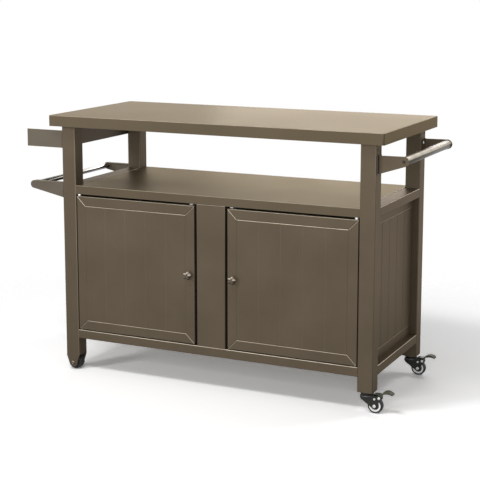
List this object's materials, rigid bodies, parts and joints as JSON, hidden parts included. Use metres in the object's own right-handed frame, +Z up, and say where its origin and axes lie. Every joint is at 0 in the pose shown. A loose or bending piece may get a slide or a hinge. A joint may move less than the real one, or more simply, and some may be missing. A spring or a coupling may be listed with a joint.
{
  "type": "grill cart with storage",
  "caption": "Grill cart: steel top on square legs, open deck over a cabinet with planked doors, side tray, towel rail and push handle, fixed wheels at one end, swivel casters at the other.",
  "frame": {"origin": "on the floor under the middle of the overall bounding box", "axes": "+X along the length towards the push handle, +Y towards the back, +Z up"},
  "size_m": [1.38, 0.55, 0.9],
  "materials": {
    "powder_coat": "satin powder coat",
    "plated_screw": "plated",
    "bush_plastic": "moulded",
    "pale_nylon": "moulded",
    "knob_plastic": "moulded, satin",
    "polished_rail": "polished",
    "satin_tube": "satin metallic",
    "wheel_plastic": "moulded",
    "black_steel": "black, satin"
  },
  "bodies": {
    "frame": {"axle_bolts": "plated_screw", "back_panel": "powder_coat", "cabinet_floor": "powder_coat", "caster_stem_front": "black_steel", "caster_stem_rear": "black_steel", "centre_stile": "powder_coat", "deck": "powder_coat", "door_catches": "pale_nylon", "foot_plates": "powder_coat", "handle_bracket_front": "powder_coat", "handle_bracket_rear": "powder_coat", "handle_pads": "bush_plastic", "handle_tube": "satin_tube", "hinge_pins": "plated_screw", "leg_front_left": "powder_coat", "leg_front_right": "powder_coat", "leg_rear_left": "powder_coat", "leg_rear_right": "powder_coat", "leg_screws": "plated_screw", "leg_top_plates": "powder_coat", "lower_rail_front": "powder_coat", "lower_rail_left": "powder_coat", "lower_rail_rear": "powder_coat", "lower_rail_right": "powder_coat", "rack_bar": "polished_rail", "rack_bracket_front": "powder_coat", "rack_bracket_rear": "powder_coat", "rear_post": "powder_coat", "side_panel_left": "powder_coat", "side_panel_right": "powder_coat", "side_rail_upper_left": "powder_coat", "side_rail_upper_right": "powder_coat", "side_screws": "plated_screw", "spice_tray": "powder_coat", "tabletop": "powder_coat", "top_channel_left": "powder_coat", "top_channel_right": "powder_coat", "top_stiffeners": "powder_coat"},
    "door_left_body": {"door_left": "powder_coat", "door_left_liner": "powder_coat", "hinge_bushes_left": "bush_plastic", "strike_left": "plated_screw", "knob_left": "knob_plastic", "knob_screw_left": "plated_screw"},
    "door_right_body": {"door_right": "powder_coat", "door_right_liner": "powder_coat", "hinge_bushes_right": "bush_plastic", "strike_right": "plated_screw", "knob_right": "knob_plastic", "knob_screw_right": "plated_screw"},
    "fixed_wheel_front": {"wheel_front_left": "wheel_plastic"},
    "fixed_wheel_rear": {"wheel_rear_left": "wheel_plastic"},
    "caster_swivel_front": {"caster_fork_front": "black_steel", "caster_pins_front": "plated_screw"},
    "caster_roller_front": {"caster_wheel_front": "wheel_plastic"},
    "caster_brake_front": {"caster_pedal_front": "black_steel"},
    "caster_swivel_rear": {"caster_fork_rear": "black_steel", "caster_pins_rear": "plated_screw"},
    "caster_roller_rear": {"caster_wheel_rear": "wheel_plastic"},
    "caster_brake_rear": {"caster_pedal_rear": "black_steel"}
  },
  "joints": [
    {"name": "door_left_hinge", "type": "hinge", "parent": "frame", "child": "door_left_body", "pos_m": [-0.485, -0.24, 0.1515], "axis": [0, 0, -1], "range_deg": [0, 110]},
    {"name": "door_right_hinge", "type": "hinge", "parent": "frame", "child": "door_right_body", "pos_m": [0.528, -0.24, 0.1515], "axis": [0, 0, 1], "range_deg": [0, 110]},
    {"name": "caster_swivel_front_turn", "type": "hinge", "parent": "frame", "child": "caster_swivel_front", "pos_m": [0.565, -0.222, 0.058], "axis": [0, 0, 1], "continuous": true},
    {"name": "caster_wheel_front_spin", "type": "hinge", "parent": "caster_swivel_front", "child": "caster_roller_front", "pos_m": [0.594, -0.222, 0.025], "axis": [0, 1, 0], "continuous": true},
    {"name": "caster_pedal_front_press", "type": "hinge", "parent": "caster_swivel_front", "child": "caster_brake_front", "pos_m": [0.609, -0.222, 0.0527], "axis": [0, 1, 0], "range_deg": [0, 10]},
    {"name": "fixed_wheel_front_spin", "type": "hinge", "parent": "frame", "child": "fixed_wheel_front", "pos_m": [-0.522, -0.222, 0.025], "axis": [0, 1, 0], "continuous": true},
    {"name": "caster_swivel_rear_turn", "type": "hinge", "parent": "frame", "child": "caster_swivel_rear", "pos_m": [0.565, 0.222, 0.058], "axis": [0, 0, 1], "continuous": true},
    {"name": "caster_wheel_rear_spin", "type": "hinge", "parent": "caster_swivel_rear", "child": "caster_roller_rear", "pos_m": [0.594, 0.222, 0.025], "axis": [0, 1, 0], "continuous": true},
    {"name": "caster_pedal_rear_press", "type": "hinge", "parent": "caster_swivel_rear", "child": "caster_brake_rear", "pos_m": [0.609, 0.222, 0.0527], "axis": [0, 1, 0], "range_deg": [0, 10]},
    {"name": "fixed_wheel_rear_spin", "type": "hinge", "parent": "frame", "child": "fixed_wheel_rear", "pos_m": [-0.522, 0.222, 0.025], "axis": [0, 1, 0], "continuous": true}
  ]
}
